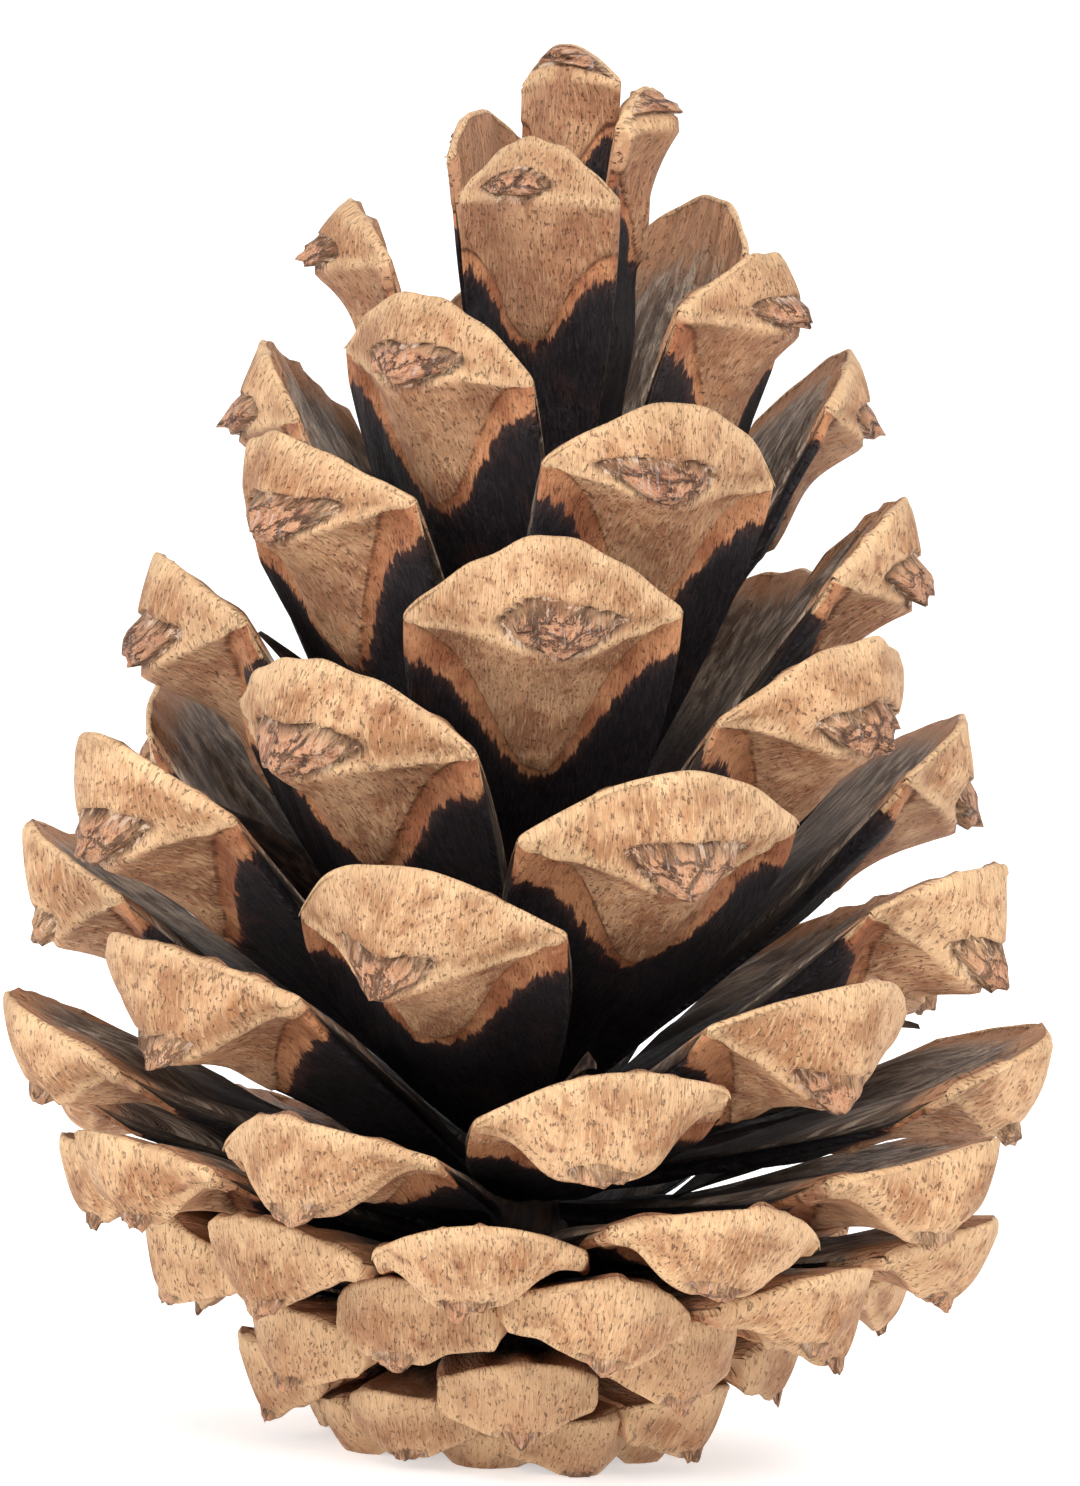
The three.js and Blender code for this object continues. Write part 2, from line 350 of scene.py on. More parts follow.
class Layout:
    """Where one scale is, how big it is, and how far it belongs to each part of the cone."""

    def __init__(self, number):
        radius, boss, root, tilt, self.width, self.face, turn = station(number)
        self.number = number
        degrees = FIRST_ANGLE + GOLDEN_ANGLE * (number - 1) + turn + CROOKED.get(number, 0)
        self.angle = math.radians(degrees)
        self.top = smoothstep(number, *TOP_CHANGES)
        self.crown = smoothstep(number, *CROWN_CHANGES)
        self.low = smoothstep(number, *LOW_CHANGES)
        self.base = smoothstep(number, *BASE_CHANGES)
        # How far the scale is darker, towards the tip and the base.
        self.darker_tone = smoothstep(number, *TOP_DARKENS) + smoothstep(number, *BASE_DARKENS)
        raised = smoothstep(number, *BOSS_HEIGHT_CHANGES)
        self.boss_height = mix(BOSS_HEIGHT, BASE_BOSS_HEIGHT, raised)
        start, end = CUP_CHANGES
        self.cup = mix(CUP, -BASE_ARCH, float(np.clip((number - start) / (end - start), 0, 1)))
        self.roll = math.radians(UNEVEN_ROLL * math.sin(number * number * 12.9898))
        lopsided = smoothstep(number, *LOPSIDED_FROM) - smoothstep(number, *LOPSIDED_TO)
        boss -= LOPSIDED * radius * math.sin(self.angle) * lopsided
        self.set_path(radius, boss, root, math.radians(tilt))

    def set_path(self, radius, boss, root, tilt):
        """The line along the middle of the inner side, from the root to the rounded end, as
        radius and height."""
        along = direction(tilt)
        inwards = direction(tilt + math.pi / 2)
        end = np.array([radius, boss])
        end += along * BOSS_SET_BACK * self.width + inwards * self.boss_height * self.width
        low, high = AXIS_HEIGHTS
        axis_radius = mix(*AXIS_RADII, (root - low) / (high - low))
        start_radius = axis_radius + CLEARANCE + ROOT_THICKNESS / 2 * math.sin(abs(tilt))
        start = np.array([start_radius, root])
        chord = math.atan2(end[1] - start[1], end[0] - start[0])
        third = np.linalg.norm(end - start) / 3
        leaving = start + direction(2 * chord - tilt) * third
        arriving = end - along * third
        t = np.linspace(0, 1, PATH_STEPS)[:, None]
        self.path = (
            start * (1 - t) ** 3
            + leaving * 3 * t * (1 - t) ** 2
            + arriving * 3 * t * t * (1 - t)
            + end * t ** 3
        )
        steps = np.linalg.norm(np.diff(self.path, axis=0), axis=1)
        self.along = np.concatenate([[0], np.cumsum(steps)])
        self.length = self.along[-1]
        tangents = np.gradient(self.path, axis=0)
        self.tangents = tangents / np.linalg.norm(tangents, axis=1)[:, None]

    def place(self, back, across, height):
        """Points of the scale, in metres on the cone, from arrays of places on it. None of
        them is below the floor."""
        s = np.clip(self.length - back, 0, self.length)
        radius = np.interp(s, self.along, self.path[:, 0])
        level = np.interp(s, self.along, self.path[:, 1])
        run = np.interp(s, self.along, self.tangents[:, 0])
        rise = np.interp(s, self.along, self.tangents[:, 1])
        roll = self.roll * s / self.length
        aside = across * np.cos(roll) - height * np.sin(roll)
        raised = across * np.sin(roll) + height * np.cos(roll)
        radius = radius - rise * raised
        level = level + run * raised
        x = radius * math.sin(self.angle) + aside * math.cos(self.angle)
        y = -radius * math.cos(self.angle) + aside * math.sin(self.angle)
        return np.stack([x, y, np.maximum(level, 0)], axis=-1) * MM


class Ripple:
    """Smooth repeatable unevenness, about -1 to 1: a few waves in random directions."""

    WAVES = 6
    PACES = (0.6, 1.6)
    GAIN = 1.6

    def __init__(self, random):
        turn = random.uniform(0, 2 * math.pi, self.WAVES)
        pace = random.uniform(*self.PACES, self.WAVES)
        self.kx = np.cos(turn) * pace
        self.ky = np.sin(turn) * pace
        self.phase = random.uniform(0, 2 * math.pi, self.WAVES)

    def __call__(self, x, y):
        directions = zip(self.kx, self.ky, self.phase)
        waves = [np.sin(kx * x + ky * y + phase) for kx, ky, phase in directions]
        return sum(waves) / self.WAVES * self.GAIN


class Surface:
    """One scale's surface as a grid, lines across it by rows round its outline, with marks
    that tell the material what is at each point."""

    def __init__(self, number):
        self.at = Layout(number)
        random = np.random.default_rng(SCALE_SEED + number)
        self.lump, self.crease, self.wave, self.grain = (Ripple(random) for _ in range(4))
        self.skew = random.uniform(-SKEW, SKEW)
        self.lean = random.uniform(-LEAN, LEAN)
        self.uneven = random.uniform(-UNEVEN_CORNERS, UNEVEN_CORNERS)
        self.twist = random.uniform(-TWIST, TWIST)
        self.tone = random.uniform(0, UNEVEN_TONE)
        # Each line's place across the scale, from -1 to 1, and how near it is to a side.
        self.u = np.sin(np.linspace(-math.pi / 2, math.pi / 2, LINES))[:, None]
        self.side = np.abs(self.u)
        self.set_edges()
        self.set_outline()
        self.set_across()
        self.set_boss()
        height = self.height - self.relief() + self.wrinkles() + self.blunting()
        self.points = self.at.place(self.back, self.across, height)
        depth = GRAIN_STEP * number + 0 * self.back
        self.grain_place = np.stack([self.across, self.arc, depth], axis=-1)

    def set_edges(self):
        """On each line, how far it is from the boss, the height of the cupped inner side, and
        the distances back to the corners, rim, keel and lower edge of the face."""
        at, u, side = self.at, self.u, self.side
        off = u - self.skew
        self.from_boss = np.abs(off) / (1 - self.skew * np.sign(off))
        self.corner = CORNER_SET_BACK * at.width * (1 + self.uneven * u)
        self.cup = at.cup * at.width * side ** 2 + self.twist * at.width * u * side
        tip = RIM_SET_BACK * at.width * smoothstep(at.number, *RIM_CHANGES)
        slant = self.lean * at.width * u * (1 - side ** 2)
        waves = RIM_WAVES * self.wave(u * 4, 0) + RIM_NICKS * self.wave(u * 13, 4)
        self.rim = mix(tip, self.corner, side ** 2) + slant + waves * at.width * (1 - side ** 4)
        set_back = mix(KEEL_SET_BACK, BASE_KEEL_SET_BACK, at.base) * at.width
        self.keel_back = mix(set_back, self.corner + KEEL_BEHIND_CORNER, self.from_boss ** 1.5)
        shoulder = smoothstep(side + 0.04 * self.wave(u * 3, 5), 0.03, 0.9)
        edge = mix(mix(CORNER_EDGE, TOP_CORNER_EDGE, at.top), LOW_CORNER_EDGE, at.low)
        self.lower_back = mix(at.face, self.corner + edge * at.width, shoulder)

    def hook(self):
        """How far the keel stands out on each line: 1 at the boss and less elsewhere."""
        at, out = self.at, self.from_boss
        slope = 1 - (np.sqrt(out ** 2 + 0.04) - 0.2) / 0.82
        pointed = (0.72 * slope + 0.28 * bell(out, 0.36)) * (1 - out ** 4)
        domed = 0.6 * smoothstep(out, 0.85, 0.3) + 0.4 * (1 - out)
        domed = mix(domed, 1 - BASE_KEEL_FALL * out ** 1.5, at.base)
        waves = mix(KEEL_WAVES, BASE_KEEL_WAVES, at.base) * self.wave(self.u * 7, 2)
        return mix(pointed, domed, at.low) + waves * (1 - self.side ** 4)

    def set_outline(self):
        """Distance back, height and stretch of every point, before any relief."""
        at, side, cup, rim = self.at, self.side, self.cup, self.rim
        lower = cup - FACE_HEIGHT * at.width * (1 - 0.4 * smoothstep(side, 0.3, 0.8))
        keel = cup - mix(RIM_THICKNESS + CORNER_THICKENING, at.boss_height * at.width, self.hook())

        t = np.linspace(0, 1, PLATE_ROWS, endpoint=False)[None, :]
        plate_back = mix(at.length, self.lower_back, t)
        belly = -PLATE_THICKNESS * (1 - 0.35 * side ** 2)
        plate = mix(mix(-ROOT_THICKNESS / 2, belly, t), mix(belly, lower, t), t)

        t = np.linspace(0, 1, LOWER_ROWS, endpoint=False)[None, :]
        under_back = mix(self.lower_back, self.keel_back, t)
        hollow = bell(side - 0.55, 0.25) * np.sin(math.pi * t)
        under = mix(lower, keel, t ** mix(2.4, 1.4, side)) + FACE_HOLLOW * at.width * hollow

        t = np.linspace(0, 1, UPPER_ROWS, endpoint=False)[None, :]
        upper_back = mix(self.keel_back, rim, t)
        bulge = mix(FACE_BULGE, LOW_FACE_BULGE, at.low) * at.width
        bulge = bulge * np.sin(math.pi * t) * (1 - side ** 2)
        upper = mix(keel, cup - RIM_THICKNESS, t ** 1.15) - bulge

        t = np.linspace(0, 1, RIM_ROWS, endpoint=False)[None, :]
        round_back = rim + RIM_ROUNDING * (1 - np.cos(math.pi / 2 * t))
        round_back = round_back - RIM_BULGE * np.sin(math.pi * t)
        round_up = cup - RIM_THICKNESS * (1 - np.sin(math.pi / 2 * t))

        t = np.linspace(0, 1, INNER_ROWS)[None, :]
        inner_back = mix(rim + RIM_ROUNDING, at.length, t)
        inner = cup * (1 - t) + ROOT_THICKNESS / 2 * t ** 2

        self.back = np.hstack([plate_back, under_back, upper_back, round_back, inner_back])
        self.height = np.hstack([plate, under, upper, round_up, inner])
        rows = [PLATE_ROWS, LOWER_ROWS, UPPER_ROWS, RIM_ROWS, INNER_ROWS]
        stretches = np.repeat([PLATE, LOWER, UPPER, RIM, INNER], rows)[None, :]
        self.stretch = stretches + 0 * self.back

    def set_across(self):
        """Distance across, and distance along each line's outline from the keel, which the
        grain follows."""
        at = self.at
        t = np.clip((self.back - self.corner) / (at.length - self.corner), 0, 1)
        taper = mix(OPEN_TAPER, BASE_TAPER, smoothstep(at.number, *TAPER_CHANGES))
        self.across = self.u * mix(at.width, ROOT_WIDTH, t ** taper) / 2
        steps = np.hypot(np.diff(self.back, axis=1), np.diff(self.height, axis=1))
        arc = np.concatenate([0 * self.u, np.cumsum(steps, axis=1)], axis=1)
        keel_row = PLATE_ROWS + LOWER_ROWS
        self.arc = arc - arc[:, keel_row:keel_row + 1]

    def set_boss(self):
        """Where the boss, the groove round it, the keel's ridge and the smooth band are."""
        at, stretch = self.at, self.stretch
        self.up = np.clip((self.back - self.keel_back) / (self.rim - self.keel_back), 0, 1)
        small = mix(1, SMALL_BOSS, smoothstep(at.number, *BOSS_SIZE_CHANGES))
        half_width = mix(BOSS_HALF_WIDTH, CROWN_BOSS_HALF_WIDTH, at.crown) * at.width * small
        half_height = mix(BOSS_HALF_HEIGHT * small, CROWN_BOSS_HALF_HEIGHT, at.crown)
        middle_up = mix(BOSS_UP * small, CROWN_BOSS_UP, at.crown)
        self.from_middle = self.across - self.skew * at.width / 2
        ragged = 0.1 * self.crease(self.across * 2, self.back * 2)
        away = np.hypot(self.from_middle / half_width, (self.up - middle_up) / half_height)
        self.boss_away = away + ragged
        self.boss = smoothstep(self.boss_away, 1.0, 0.85) * (stretch == UPPER)
        below_keel = (stretch == LOWER) * bell(self.arc, 0.35)
        self.groove = bell(self.boss_away - 1.08, 0.12) * ((stretch == UPPER) + below_keel)
        ridge = bell(self.back - self.keel_back, 0.3)
        self.ridge = ridge * smoothstep(self.from_boss, 0.1, 0.3)
        self.inside = self.lower_back - self.back
        band = mix(*BAND_WIDTHS, smoothstep(self.side, 0, 0.55)) * at.width
        self.band = band + BAND_WAVES * self.wave(self.u * 5, 9)

    def fade(self):
        """1 on most of the scale, falling to 0 at its side edges."""
        return smoothstep(self.side, 1.0, 0.93)

    def relief(self):
        """How far the surface stands out on the outer side."""
        at, boss, across, arc, up = self.at, self.boss, self.across, self.arc, self.up
        lower, upper = self.stretch == LOWER, self.stretch == UPPER
        relief = BOSS_RISE * at.width * boss - GROOVE_DEPTH * at.width * self.groove
        relief = relief + boss * BOSS_ROUGHNESS * self.crease(across * 3.4, up * 16)
        prickle = mix(PRICKLE, LOW_PRICKLE, at.low) * bell(self.boss_away, 0.25)
        relief = relief + boss * prickle
        step = smoothstep(self.inside, self.band - 0.1, self.band + 0.15)
        relief = relief + BAND_STEP * step * lower
        middle = bell(self.from_middle + 0.3 * self.wave(arc * 0.8, 7), 0.45)
        middle = middle * smoothstep(self.inside, 5, 1)
        relief = relief + mix(MIDDLE_RIDGE, LOW_MIDDLE_RIDGE, at.low) * middle * lower
        uneven = FACE_LUMPS * self.lump(across * 0.8, arc * 0.8)
        uneven = uneven + FACE_GRAIN * self.grain(across * 4.5, arc * 0.9)
        relief = relief + uneven * (self.stretch < RIM)
        folds = FACE_FOLDS * self.wave(across * 1.9, up * 2) * smoothstep(up, 0.2, 0.6)
        relief = relief + folds * upper
        relief = relief + KEEL_RIDGE * self.ridge * (lower | upper)
        return relief * self.fade()

    def wrinkles(self):
        """Unevenness of the inner side, which dies out towards the root."""
        grain = INNER_GRAIN * self.grain(self.across * 3.6, self.back * 0.45)
        lumps = INNER_LUMPS * self.lump(self.across * 1.1, self.back * 0.6)
        from_root = smoothstep(self.at.length - self.back, 0, 6)
        return (grain + lumps) * self.fade() * (self.stretch == INNER) * from_root

    def blunting(self):
        """What rounds the side edges off."""
        blunt = 1 - np.sqrt(1 - np.clip((self.side - 0.965) / 0.036, 0, 1) ** 2)
        return blunt * np.where(self.stretch >= RIM, -INNER_SIDE_ROUNDING, SIDE_ROUNDING)

    def marks(self):
        """What the material needs to know at each point."""
        at, stretch = self.at, self.stretch
        on_inner = stretch == INNER
        inside = np.where(on_inner, -FAR, np.where(stretch == RIM, FAR, self.inside))
        on_plate = np.where(stretch == PLATE, -FAR, FAR)
        # Painted highlight along the rim and the keel's ridge.
        pale = bell(self.back - self.rim, 0.35) * (stretch >= UPPER) + 0.8 * self.ridge
        reach = mix(mix(1, 2.4, at.top), 2.2, smoothstep(at.number, *INNER_COLOUR_CHANGES))
        worn = mix(0.95, 0.6, smoothstep(at.number, *BOSS_COLOUR_CHANGES))
        return {
            "inside": inside,
            "past_band": np.where(stretch == LOWER, self.inside - self.band, on_plate),
            "upper_side": ((stretch == UPPER) | (stretch == RIM)) * 1.0,
            "boss": self.boss * worn,
            "groove": self.groove,
            "pale": np.clip(pale, 0, 1),
            "inner_side": on_inner * 1.0,
            "from_rim": (self.back - self.rim) / reach,
            "tone": 0 * self.back + TIP_AND_BASE_TONE * at.darker_tone + self.tone,
        }


def grid_mesh(name, points, marks, grain_place):
    """A closed mesh from a grid whose rows close on themselves, capped at both sides."""
    lines, rows = points.shape[:2]
    index = np.arange(lines * rows).reshape(lines, rows)
    following = np.roll(index, -1, axis=1)
    quads = np.stack([index[:-1], index[1:], following[1:], following[:-1]], axis=-1)
    caps = [index[0].tolist(), index[-1][::-1].tolist()]
    mesh = bpy.data.meshes.new(name)
    mesh.from_pydata(points.reshape(-1, 3).tolist(), [], quads.reshape(-1, 4).tolist() + caps)
    for mark, values in marks.items():
        layer = mesh.attributes.new(mark, "FLOAT", "POINT")
        layer.data.foreach_set("value", values.astype(np.float32).ravel())
    layer = mesh.attributes.new("grain_place", "FLOAT_VECTOR", "POINT")
    layer.data.foreach_set("vector", grain_place.astype(np.float32).ravel())
    mesh.shade_smooth()
    mesh.update()
    piece = bpy.data.objects.new(name, mesh)
    bpy.context.scene.collection.objects.link(piece)
    return piece


def colour(name):
    """A colour of COLOURS as the linear values that nodes take."""
    parts = [c / 255 for c in COLOURS[name]]
    return [p / 12.92 if p <= 0.04045 else ((p + 0.055) / 1.055) ** 2.4 for p in parts] + [1.0]


class Shader:
    """Short ways to add nodes to one material."""

    def __init__(self, name):
        self.material = bpy.data.materials.new(name)
        self.material.use_nodes = True
        self.tree = self.material.node_tree
        self.surface = self.tree.nodes["Principled BSDF"]

    def feed(self, socket, value):
        if isinstance(value, bpy.types.NodeSocket):
            self.tree.links.new(value, socket)
        else:
            socket.default_value = value

    def attribute(self, name, output):
        node = self.tree.nodes.new("ShaderNodeAttribute")
        node.attribute_name = name
        return node.outputs[output]

    def mark(self, name):
        return self.attribute(name, "Fac")

    def stretched(self, vector, factors):
        node = self.tree.nodes.new("ShaderNodeVectorMath")
        node.operation = "MULTIPLY"
        self.feed(node.inputs[0], vector)
        node.inputs[1].default_value = factors
        return node.outputs[0]

    def noise(self, vector, detail, roughness=0.55):
        node = self.tree.nodes.new("ShaderNodeTexNoise")
        self.feed(node.inputs["Vector"], vector)
        node.inputs["Scale"].default_value = 1.0
        node.inputs["Detail"].default_value = detail
        node.inputs["Roughness"].default_value = roughness
        return node.outputs["Fac"]

    def cracks(self, vector):
        node = self.tree.nodes.new("ShaderNodeTexVoronoi")
        node.feature = "DISTANCE_TO_EDGE"
        self.feed(node.inputs["Vector"], vector)
        node.inputs["Scale"].default_value = 1.0
        return node.outputs["Distance"]

    def math(self, operation, a, b):
        node = self.tree.nodes.new("ShaderNodeMath")
        node.operation = operation
        self.feed(node.inputs[0], a)
        self.feed(node.inputs[1], b)
        return node.outputs[0]

    def scaled(self, a, b):
        return self.math("MULTIPLY", a, b)

    def roughened(self, value, noise, amount):
        """The value, raised or lowered by up to half the amount where the noise says so."""
        return self.math("ADD", value, self.scaled(self.math("SUBTRACT", noise, 0.5), amount))

    def shifted(self, vector, amount, factor):
        """The vector moved by an amount, the same along each axis."""
        node = self.tree.nodes.new("ShaderNodeVectorMath")
        node.operation = "ADD"
        self.feed(node.inputs[0], vector)
        self.feed(node.inputs[1], self.scaled(amount, factor))
        return node.outputs[0]

    def between(self, value, low, high):
        """0 below low and 1 above high, or the other way round if low is the greater."""
        node = self.tree.nodes.new("ShaderNodeMapRange")
        node.interpolation_type = "SMOOTHSTEP"
        self.feed(node.inputs["Value"], value)
        node.inputs["From Min"].default_value = min(low, high)
        node.inputs["From Max"].default_value = max(low, high)
        node.inputs["To Min"].default_value = 0.0 if low < high else 1.0
        node.inputs["To Max"].default_value = 1.0 if low < high else 0.0
        return node.outputs["Result"]

    def blend(self, a, b, factor):
        """Colour a where the factor is 0 and b where it is 1. Names are looked up."""
        node = self.tree.nodes.new("ShaderNodeMix")
        node.data_type = "RGBA"
        self.feed(node.inputs["Factor"], factor)
        self.feed(node.inputs[COLOUR_A], colour(a) if isinstance(a, str) else a)
        self.feed(node.inputs[COLOUR_B], colour(b) if isinstance(b, str) else b)
        return node.outputs[COLOUR_OUT]

    def tint(self, base, name, value, low, high, most):
        """The base colour tinted, by at most a share, where the value is between two levels."""
        return self.blend(base, name, self.scaled(self.between(value, low, high), most))

    def bump(self, height, distance):
        node = self.tree.nodes.new("ShaderNodeBump")
        node.inputs["Distance"].default_value = distance * MM
        self.feed(node.inputs["Height"], height)
        self.feed(self.surface.inputs["Normal"], node.outputs["Normal"])


def scale_material():
    """The woody scale: ribbed face, boss, smooth band, frayed black plate, grey inner side."""
    s = Shader("scale_wood")
    place = s.attribute("grain_place", "Vector")
    streaks = s.noise(s.stretched(place, (2.4, 0.7, 1)), 4.0)
    fibres = s.noise(s.stretched(place, (9.0, 1.2, 1)), 3.0)
    dashes = s.noise(s.stretched(place, (10.0, 3.6, 1)), 2.0)
    clouds = s.noise(s.stretched(place, (0.4, 0.4, 1)), 4.0)
    spots = s.noise(s.stretched(place, (1.3, 1.1, 1)), 4.0)
    grit = s.noise(s.stretched(place, (1.9, 2.6, 1)), 5.0, 0.7)

    # The exposed face.
    upper = s.blend("upper dark", "upper light", s.between(clouds, 0.4, 0.58))
    # The lower face, which faces down, takes slightly darker colours: painted shade.
    lower = s.blend("lower dark", "lower light", s.between(clouds, 0.4, 0.6))
    face = s.blend(lower, upper, s.mark("upper_side"))
    face = s.tint(face, "streak", streaks, 0.5, 0.7, 0.6)
    # Painted highlight in pale streaks along the fibres.
    face = s.tint(face, "fibre", fibres, 0.48, 0.7, 0.45)
    face = s.tint(face, "spot", spots, 0.56, 0.7, 0.65)
    face = s.tint(face, "dash", dashes, 0.58, 0.72, 0.5)
    # Scales turned to a darker colour, at random and towards the tip and the base.
    face = s.blend(face, "darker_tone", s.scaled(s.mark("tone"), 0.6))
    # Painted highlight along the rim and the keel's ridge.
    face = s.blend(face, "painted highlight", s.scaled(s.mark("pale"), 0.45))

    # The boss, with crevices darkened by painted shade and specks of dried resin, and the groove
    # round it, darkened by painted shade.
    bent = s.shifted(s.stretched(place, (0.7, 1.2, 1)), grit, 1.5)
    crevice = s.between(s.cracks(bent), 0.09, 0.0)
    knob = s.blend("knob dark", "knob light", s.between(grit, 0.38, 0.52))
    # Painted shade in the crevices.
    knob = s.blend(knob, "crevice", s.scaled(crevice, 0.85))
    knob = s.tint(knob, "resin", fibres, 0.58, 0.66, 0.45)
    face = s.blend(face, knob, s.mark("boss"))
    # Painted shade in the groove, in patches.
    painted_groove_shade = s.scaled(s.mark("groove"), s.between(grit, 0.42, 0.5))
    face = s.blend(face, "groove", s.scaled(painted_groove_shade, 0.9))
    flaky_edge = s.scaled(s.mark("groove"), s.between(grit, 0.46, 0.4))
    face = s.blend(face, "flake", s.scaled(flaky_edge, 0.7))

    # The smooth band, and the seam between it and the ribbed face.
    frayed = s.roughened(s.roughened(s.mark("inside"), streaks, 1.8), fibres, 1.0)
    band = s.blend("band dark", "band light", s.between(clouds, 0.4, 0.6))
    band = s.tint(band, "band spot", grit, 0.55, 0.7, 0.5)
    band = s.blend("band edge", band, s.between(frayed, 0.0, 0.22))
    step = s.mark("past_band")
    face = s.blend(band, face, s.between(step, -0.1, 0.1))
    seam = s.scaled(s.between(step, -0.22, -0.05), s.between(step, 0.12, 0.0))
    seam = s.scaled(seam, s.between(streaks, 0.4, 0.55))
    face = s.blend(face, "seam", s.scaled(seam, 0.7))

    # The black plate and its frayed edge.
    black = s.blend("black dark", "black light", s.between(fibres, 0.45, 0.7))
    black = s.tint(black, "black cloud", clouds, 0.55, 0.7, 0.4)
    black = s.tint(black, "black edge", frayed, -0.9, 0.0, 0.18)
    black = s.tint(black, "black fleck", dashes, 0.68, 0.74, 0.3)
    outer = s.blend(black, face, s.between(frayed, -0.05, 0.05))

    # The inner side, brown at the rim, grey further in and darkened by painted shade at the root.
    inner = s.blend("inner dark", "inner light", s.between(streaks, 0.4, 0.64))
    inner = s.tint(inner, "inner fibre", fibres, 0.5, 0.7, 0.4)
    depth = s.roughened(s.mark("from_rim"), streaks, 3.0)
    inner = s.blend("inner edge", inner, s.between(depth, 0.9, 2.6))
    # Painted shade towards the root.
    inner = s.blend(inner, "painted root shade", s.between(depth, 5.5, 11.5))

    s.feed(s.surface.inputs["Base Color"], s.blend(outer, inner, s.mark("inner_side")))
    s.feed(s.surface.inputs["Roughness"], s.math("ADD", 0.5, s.scaled(streaks, 0.35)))
    s.surface.inputs["Specular IOR Level"].default_value = 0.3
    relief = s.math("ADD", streaks, s.scaled(fibres, 0.9))
    relief = s.math("SUBTRACT", relief, s.scaled(s.between(dashes, 0.6, 0.7), 0.8))
    relief = s.math("SUBTRACT", relief, s.scaled(s.scaled(crevice, s.mark("boss")), 1.2))
    relief = s.math("ADD", relief, s.scaled(s.scaled(grit, s.mark("boss")), 2.5))
    s.bump(relief, 0.28)
    return s.material


def dark_material(name, dark, light, stretch):
    """Dry dark tissue with fine lengthwise fibres."""
    s = Shader(name)
    place = s.attribute("grain_place", "Vector")
    fibres = s.noise(s.stretched(place, stretch), 4.0)
    clouds = s.noise(s.stretched(place, (0.6, 0.6, 1)), 3.0)
    shade = s.blend(dark, light, s.between(fibres, 0.4, 0.65))
    s.feed(s.surface.inputs["Base Color"], s.tint(shade, dark, clouds, 0.45, 0.6, 0.5))
    s.feed(s.surface.inputs["Roughness"], s.math("ADD", 0.45, s.scaled(fibres, 0.4)))
    s.surface.inputs["Specular IOR Level"].default_value = 0.35
    s.bump(fibres, 0.15)
    return s.material


def add_scales(material):
    for number in range(1, SCALE_COUNT + 1):
        surface = Surface(number)
        name = f"woody_scale_{number:02d}"
        piece = grid_mesh(name, surface.points, surface.marks(), surface.grain_place)
        piece.data.materials.append(material)
        node = f"scale_{number:02d}" if number <= OPEN_COUNT else "basal_scales"
        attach(piece, "root")
        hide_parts(node)


def add_round(name, node, outline, material):
    """A knobbly round piece from an outline of radius and height, turned about the upright axis."""
    random = np.random.default_rng(ROUND_SEED)
    lump, crease = Ripple(random), Ripple(random)
    outline = np.array(outline, float)
    steps = np.concatenate([[0], np.cumsum(np.linalg.norm(np.diff(outline, axis=0), axis=1))])
    s = np.linspace(0, steps[-1], ROUND_ROWS)
    radius = np.interp(s, steps, outline[:, 0])[:, None]
    level = np.interp(s, steps, outline[:, 1])[:, None]
    around = np.linspace(0, 2 * math.pi, ROUND_LINES, endpoint=False)[None, :]
    lumps = ROUND_LUMPS * lump(3 * np.cos(around), level * 1.2)
    creases = ROUND_CREASES * crease(6 * np.sin(around), level)
    r = radius * (1 + lumps + creases)
    points = np.stack([r * np.cos(around), r * np.sin(around), level + 0 * r], axis=-1) * MM
    grain_place = np.stack([radius * around, level + 0 * r, 0 * r], axis=-1)
    piece = grid_mesh(name, points, {}, grain_place)
    piece.data.materials.append(material)
    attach(piece, "root")
    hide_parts(node)


def add_seed_wing(name, number, curl, across_shift, material):
    """A thin curled membrane that lies on the inner side of one scale."""
    at = Layout(number)
    wave = Ripple(np.random.default_rng(WING_SEED + number))
    t = np.linspace(0, 1, WING_STEPS)[:, None]
    v = np.linspace(-1, 1, WING_LINES)[None, :]
    back = mix(WING_FROM, WING_TO, t) * at.length + 0 * v
    half = (WING_END + WING_SWELL * np.sin(math.pi * t ** 0.8)) * np.sqrt(1.001 - t ** 3)
    turned = WING_TURN * t
    across = across_shift + v * half * np.cos(turned)
    rise = WING_RISE + curl * np.sin(0.8 * math.pi * t) + WING_WAVES * wave(t * 9, v * 2)
    rise = rise + (v + 0.6) * half * np.sin(turned)
    thick = WING_THICKNESS / 2 * np.sqrt(1.02 - v ** 2)
    over = at.place(back, across, rise + thick)
    under = at.place(back, across, rise - thick)
    points = np.concatenate([over, under[:, ::-1]], axis=1)
    place = np.stack([across, back, 0 * back], axis=-1)
    grain_place = np.concatenate([place, place[:, ::-1]], axis=1)
    piece = grid_mesh(name.replace("seed_wing", "wing_membrane"), points, {}, grain_place)
    piece.data.materials.append(material)
    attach(piece, "root")
    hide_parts(name)


def floor_material():
    s = Shader("floor")
    s.surface.inputs["Base Color"].default_value = (FLOOR_GREY, FLOOR_GREY, FLOOR_GREY, 1)
    s.surface.inputs["Roughness"].default_value = 0.9
    s.surface.inputs["Emission Color"].default_value = (1, 1, 1, 1)
    s.surface.inputs["Emission Strength"].default_value = FLOOR_GLOW
    return s.material


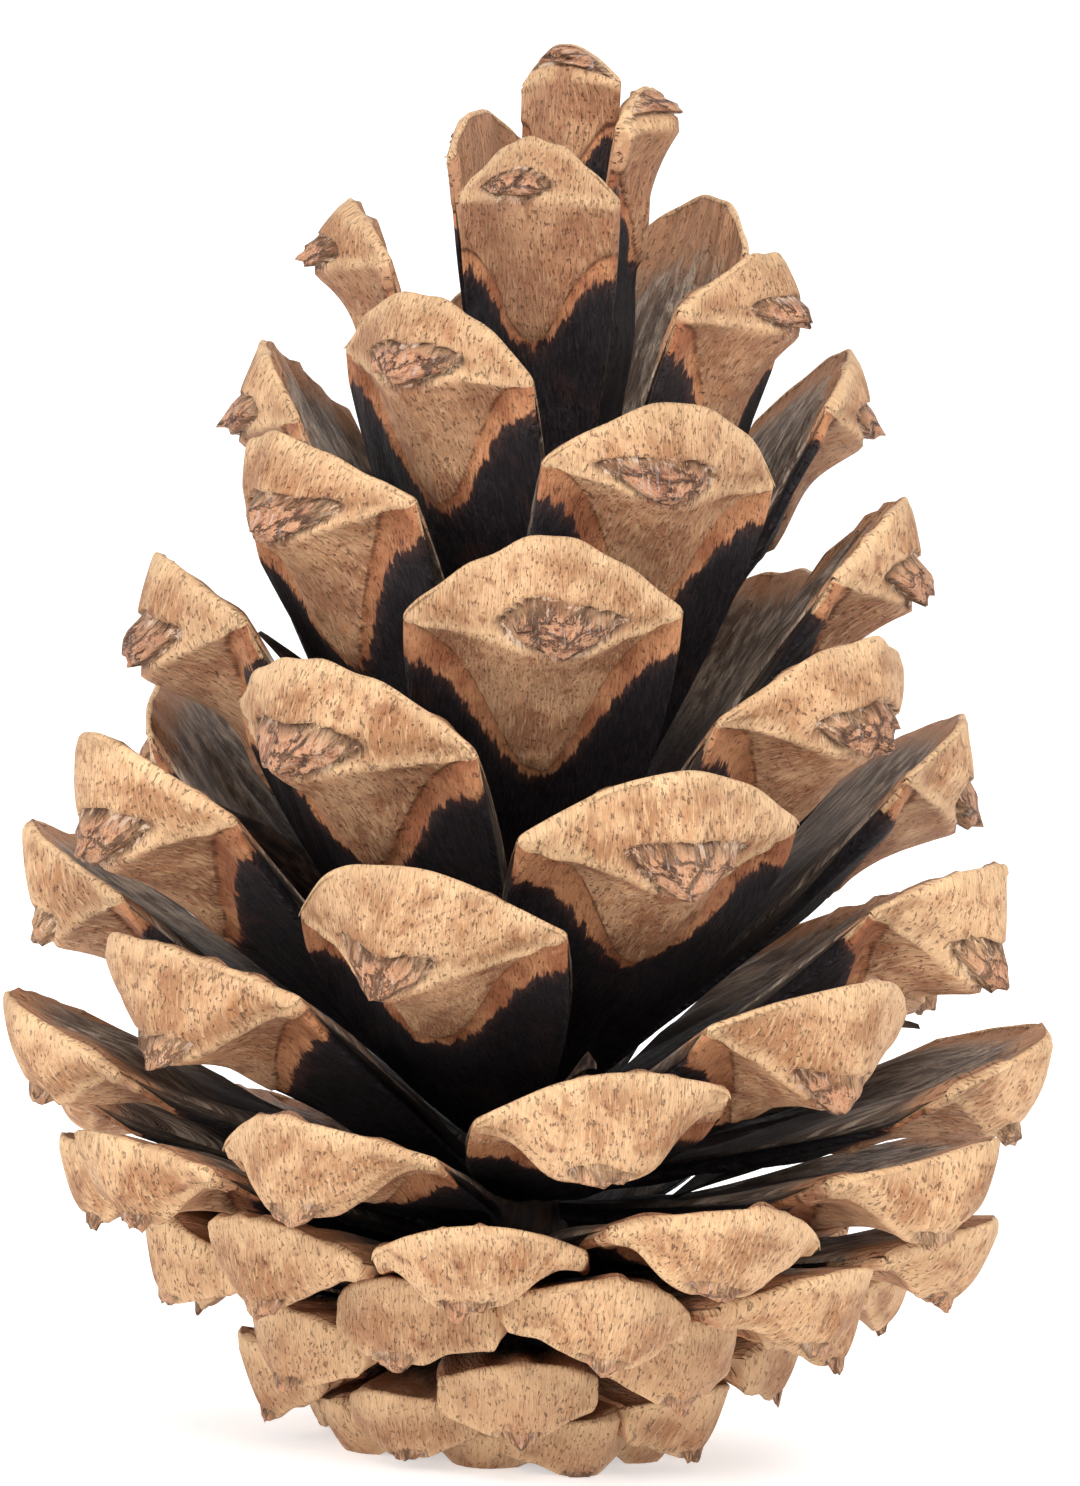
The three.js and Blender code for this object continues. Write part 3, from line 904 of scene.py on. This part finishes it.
def add_floor():
    """A pale floor whose edge sweeps up all round."""
    around = np.linspace(0, 2 * math.pi, FLOOR_LINES, endpoint=False)
    points = [(r * math.cos(a), r * math.sin(a), z) for r, z in FLOOR_RINGS for a in around]
    faces = [list(range(FLOOR_LINES))]
    for ring in range(len(FLOOR_RINGS) - 1):
        inner = ring * FLOOR_LINES
        outer = inner + FLOOR_LINES
        for i in range(FLOOR_LINES):
            j = (i + 1) % FLOOR_LINES
            faces.append([inner + i, outer + i, outer + j, inner + j])
    mesh = bpy.data.meshes.new("floor")
    mesh.from_pydata(points, [], faces)
    mesh.shade_smooth()
    mesh.materials.append(floor_material())
    floor = bpy.data.objects.new("floor", mesh)
    bpy.context.scene.collection.objects.link(floor)


def add_light(name, where, size, power):
    data = bpy.data.lights.new(name, "AREA")
    data.shape = "DISK"
    data.size = size
    data.energy = power
    light = bpy.data.objects.new(name, data)
    bpy.context.scene.collection.objects.link(light)
    light.location = where
    towards = Vector(LIT_PLACE) - Vector(where)
    light.rotation_euler = towards.to_track_quat("-Z", "Y").to_euler()


def add_camera():
    """The camera, a little above the cone's middle and rolled so that the cone leans right."""
    elevation = math.radians(CAMERA_ELEVATION)
    roll = math.radians(CAMERA_ROLL)
    ce, se = math.cos(elevation), math.sin(elevation)
    c, s = math.cos(roll), math.sin(roll)
    towards = Vector((-se * s, -ce, se * c))
    up = Vector((-ce * s, se, ce * c))
    right = up.cross(towards)
    data = bpy.data.cameras.new("camera")
    data.lens = CAMERA_LENS
    data.sensor_width = CAMERA_SENSOR
    data.shift_x, data.shift_y = CAMERA_SHIFT
    data.clip_start = 0.01
    camera = bpy.data.objects.new("camera", data)
    bpy.context.scene.collection.objects.link(camera)
    place = Matrix.Translation(Vector(CAMERA_TARGET) + towards * CAMERA_DISTANCE)
    camera.matrix_world = place @ Matrix((right, up, towards)).transposed().to_4x4()
    bpy.context.scene.camera = camera


def add_world():
    world = bpy.data.worlds.new("studio")
    world.use_nodes = True
    background = world.node_tree.nodes["Background"]
    background.inputs["Color"].default_value = (1, 1, 1, 1)
    background.inputs["Strength"].default_value = WORLD_STRENGTH
    bpy.context.scene.world = world


add_scales(scale_material())
axis_wood = dark_material("axis_wood", "axis dark", "axis light", (3.0, 0.8, 1))
add_round("cone_axis", "axis", AXIS_OUTLINE, axis_wood)
add_round("stalk_end", "basal_scales", STALK_OUTLINE, axis_wood)
wing_skin = dark_material("seed_wing", "wing dark", "wing light", (5.0, 0.7, 1))
for wing_name, wing_scale, wing_curl, wing_shift in SEED_WINGS:
    add_seed_wing(wing_name, wing_scale, wing_curl, wing_shift, wing_skin)
add_floor()
add_world()
for light_name, light_place, light_size, light_power in LIGHTS:
    add_light(light_name, light_place, light_size, light_power)
add_camera()
bpy.context.scene.view_settings.view_transform = "Standard"
